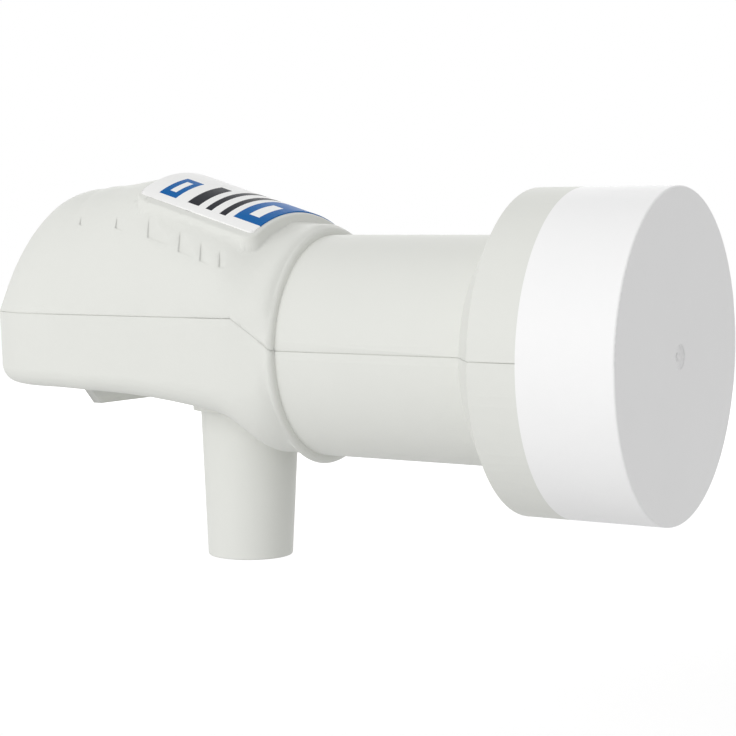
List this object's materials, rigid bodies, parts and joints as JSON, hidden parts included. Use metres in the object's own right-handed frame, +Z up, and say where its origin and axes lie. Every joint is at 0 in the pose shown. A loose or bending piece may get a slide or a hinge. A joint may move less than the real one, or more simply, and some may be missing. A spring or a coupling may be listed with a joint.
{
  "type": "satellite lnb",
  "caption": "Satellite dish feed converter: domed rear housing, round clamp neck, flared collar with a flat feed cap and a sliding weather sleeve over its threaded aerial socket.",
  "frame": {"origin": "on the feed axis at the middle of the round clamp neck", "axes": "+X along the feed axis out of the feed cap, +Z up, away from the aerial socket"},
  "size_m": [0.1375, 0.056, 0.0714],
  "materials": {
    "shell_plastic": "fine moulded satin, grey white",
    "sleeve_plastic": "fine moulded satin, grey white",
    "cap_plastic": "smooth satin, white",
    "label_film": "printed film",
    "seal_rubber": "matt black",
    "gasket_rubber": "matt grey",
    "cast_alloy": "as cast",
    "cover_alloy": "as cast",
    "screw_steel": "zinc plated",
    "board_laminate": "solder mask",
    "absorber_rubber": "matt",
    "probe_brass": "bright drawn",
    "bead_plastic": "milky white",
    "socket_metal": "nickel plated",
    "contact_brass": "gilt",
    "chip_plastic": "moulded black",
    "crystal_can": "bright can",
    "transistor_ceramic": "white ceramic",
    "capacitor_ceramic": "tan ceramic"
  },
  "bodies": {
    "housing": {"upper_shell": "shell_plastic", "lower_shell": "shell_plastic", "label": "label_film", "horn_cap": "cap_plastic", "cap_seal": "seal_rubber", "cast_housing": "cast_alloy", "chamber_cover": "cover_alloy", "cover_gasket": "gasket_rubber", "cover_screws": "screw_steel", "circuit_board": "board_laminate", "absorber_pad": "absorber_rubber", "front_probe": "probe_brass", "front_probe_bead": "bead_plastic", "rear_probe": "probe_brass", "rear_probe_bead": "bead_plastic", "isolation_pin": "probe_brass", "f_connector": "socket_metal", "connector_insulator": "bead_plastic", "centre_contact": "contact_brass", "connector_seal": "seal_rubber", "converter_chip": "chip_plastic", "reference_crystal": "crystal_can", "voltage_regulator": "chip_plastic", "amplifier_transistors": "transistor_ceramic", "supply_capacitors": "capacitor_ceramic"},
    "sleeve": {"weather_sleeve": "sleeve_plastic"}
  },
  "joints": [
    {"name": "sleeve_slide", "type": "slide", "parent": "housing", "child": "sleeve", "axis": [0, 0, 1], "range_m": [0, 0.014]}
  ]
}
